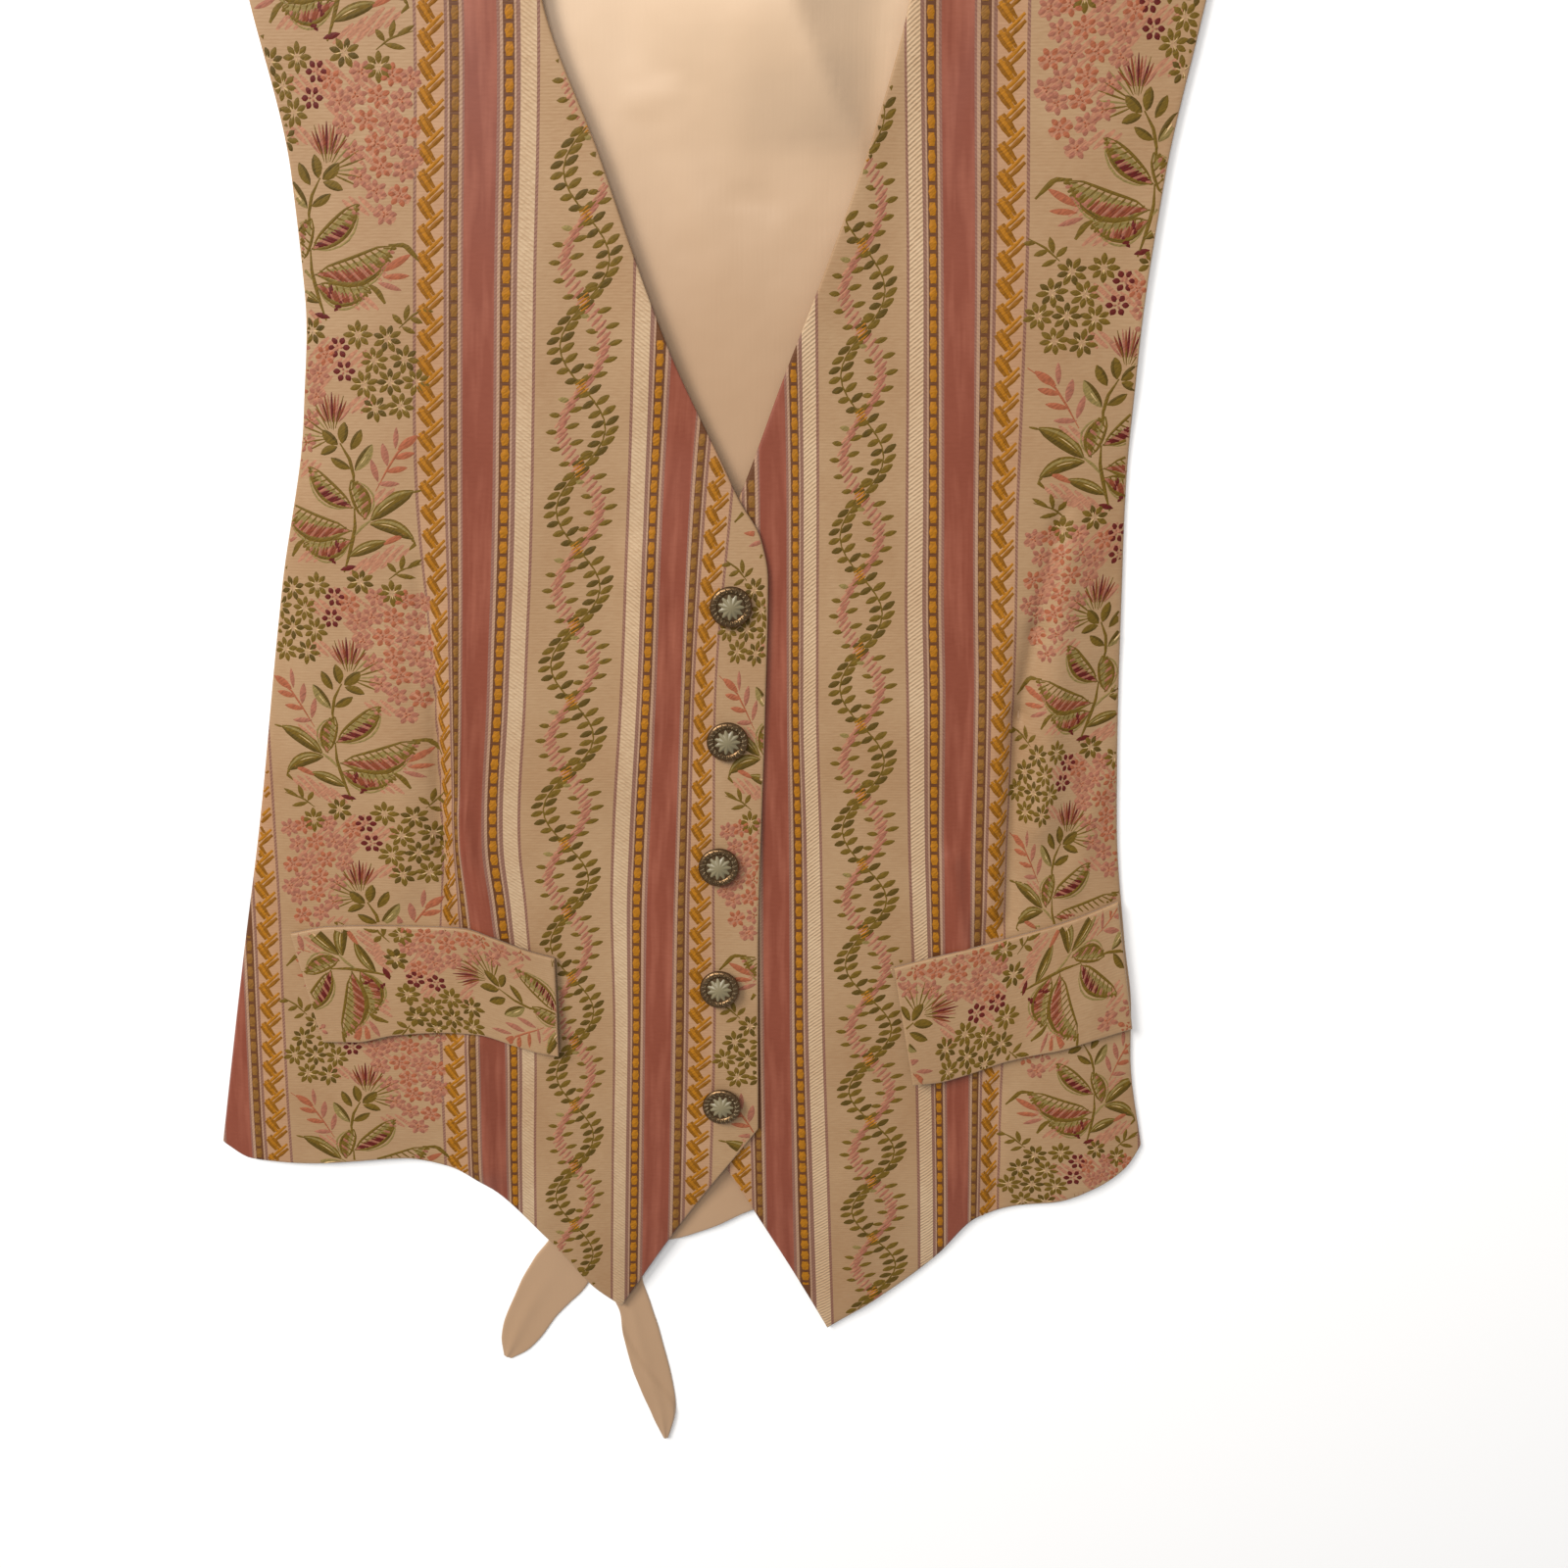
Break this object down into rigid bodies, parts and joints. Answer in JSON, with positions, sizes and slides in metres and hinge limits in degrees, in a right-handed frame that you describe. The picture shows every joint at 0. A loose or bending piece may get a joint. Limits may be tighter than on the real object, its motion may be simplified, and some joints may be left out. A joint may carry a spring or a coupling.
{
  "type": "waistcoat",
  "caption": "Buttoned V-neck waistcoat with pocket flaps, pointed fronts and loose back ties, lying flat on its back.",
  "frame": {"origin": "middle of the footprint, on the surface the garment lies on", "axes": "+X to the wearer's left, +Y up towards the neck, +Z away from the surface, out of the fronts"},
  "size_m": [0.4432, 0.7773, 0.0155],
  "materials": {
    "brocade": "silky jacquard brocade in ecru with dusty-pink, gold and floral stripes",
    "satin": "smooth ecru satin, soft sheen",
    "antique_silver": "cast metal with a darkened silver plating, worn bright on the rim",
    "pearl": "pearly inlay, polished"
  },
  "bodies": {
    "root": {"back": "satin", "front_right": "brocade", "front_left": "brocade", "flap_right": "brocade", "flap_left": "brocade", "tie_right": "satin", "tie_left": "satin", "button_1": "antique_silver", "button_2": "antique_silver", "button_3": "antique_silver", "button_4": "antique_silver", "button_5": "antique_silver", "button_pearl_1": "pearl", "button_pearl_2": "pearl", "button_pearl_3": "pearl", "button_pearl_4": "pearl", "button_pearl_5": "pearl"}
  },
  "joints": []
}
